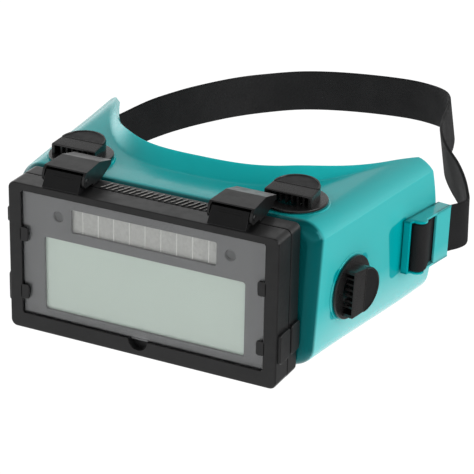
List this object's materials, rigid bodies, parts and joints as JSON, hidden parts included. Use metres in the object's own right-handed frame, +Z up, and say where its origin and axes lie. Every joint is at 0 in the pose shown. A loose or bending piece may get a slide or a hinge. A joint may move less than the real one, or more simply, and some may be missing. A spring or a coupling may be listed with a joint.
{
  "type": "welding goggles",
  "caption": "Welding goggles with a soft vented body, a flip-up front frame holding an auto-darkening filter, a clear safety lens behind it, and an elastic head strap.",
  "frame": {"origin": "centre of the fixed lens frame's flat bottom face, which is also the level that the body rests on", "axes": "+Z up, the front window faces -Y, the head strap runs towards +Y, +X is the viewer's right as seen from the front"},
  "size_m": [0.1726, 0.2288, 0.069],
  "materials": {
    "soft_body": "glossy, slightly translucent flexible moulding",
    "black_plastic": "satin moulded",
    "vent_plastic": "satin moulded",
    "grey_plastic": "fine matte",
    "safety_glass": "clear",
    "clear_cover": "clear, polished",
    "filter_glass": "pale green mirror-coated",
    "crystal_cell": "dark glass cell",
    "gasket_rubber": "matte",
    "steel": "plain",
    "solar_cells": "grey cells with pale lines",
    "sensor_face": "dark window",
    "board": "green board",
    "webbing": "black elastic webbing, matte"
  },
  "bodies": {
    "goggles": {"goggle_body": "soft_body", "strap_bracket_left": "soft_body", "strap_bracket_right": "soft_body", "rear_frame": "black_plastic", "hinge_bracket_left": "black_plastic", "hinge_bracket_right": "black_plastic", "vent_cap_top_left": "vent_plastic", "vent_cap_top_right": "vent_plastic", "vent_cap_side_left": "vent_plastic", "vent_cap_side_right": "vent_plastic", "vent_ring_top_left": "vent_plastic", "vent_ring_top_right": "vent_plastic", "vent_ring_side_left": "vent_plastic", "vent_ring_side_right": "vent_plastic", "safety_lens": "safety_glass", "lens_gasket": "gasket_rubber", "hinge_pin_left": "steel", "hinge_pin_right": "steel", "head_strap": "webbing"},
    "flip_front": {"flip_frame": "black_plastic", "cover_lens": "clear_cover", "filter_bezel": "grey_plastic", "filter_back_cover": "black_plastic", "filter_retainer": "black_plastic", "uv_ir_filter": "filter_glass", "lcd_shutter": "crystal_cell", "solar_panel": "solar_cells", "circuit_board": "board", "arc_sensor_left": "sensor_face", "arc_sensor_right": "sensor_face", "backup_battery_left": "steel", "backup_battery_right": "steel"}
  },
  "joints": [
    {"name": "flip_hinge", "type": "hinge", "parent": "goggles", "child": "flip_front", "pos_m": [0, -0.00855, 0.0651], "axis": [-1, 0, 0], "range_deg": [0, 85]}
  ]
}
